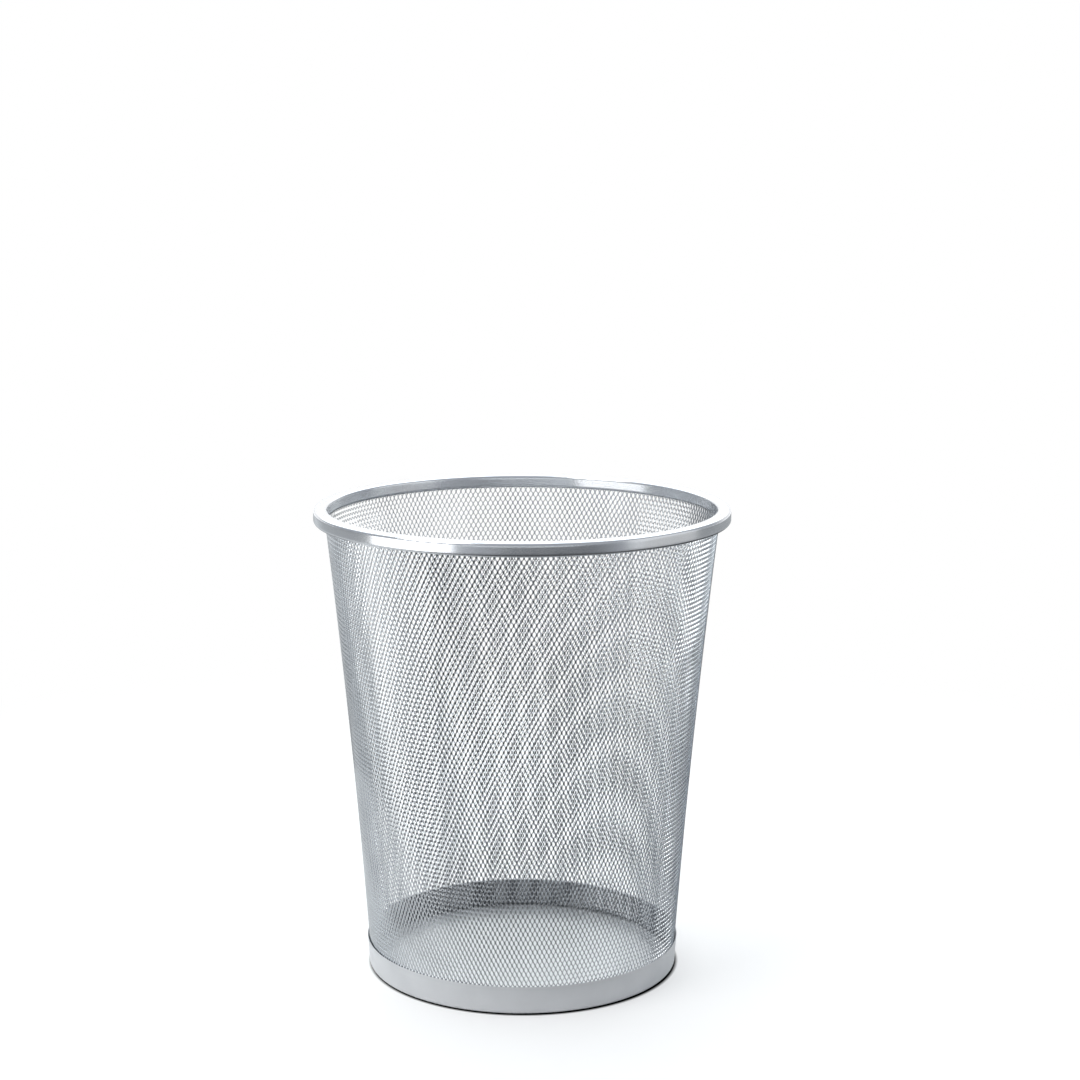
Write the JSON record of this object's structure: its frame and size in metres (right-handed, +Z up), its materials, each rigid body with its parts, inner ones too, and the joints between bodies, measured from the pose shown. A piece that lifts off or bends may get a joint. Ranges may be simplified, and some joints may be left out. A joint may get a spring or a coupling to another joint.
{
  "type": "office wastebasket",
  "caption": "Round open-topped wastebasket with a flared wall of expanded steel mesh, a rolled steel rim and a pressed steel base pan.",
  "frame": {"origin": "centre of the basket's footprint, on the floor", "axes": "+Z up along the basket's axis; the basket is round, so +X and +Y only fix where the mesh columns start"},
  "size_m": [0.29, 0.29, 0.33],
  "materials": {
    "rim_steel": "bright satin rolled steel",
    "mesh_steel": "silver lacquer over expanded steel",
    "pan_paint": "satin silver paint"
  },
  "bodies": {
    "root": {"rim_ring": "rim_steel", "mesh_wall": "mesh_steel", "base_pan": "pan_paint"}
  },
  "joints": []
}
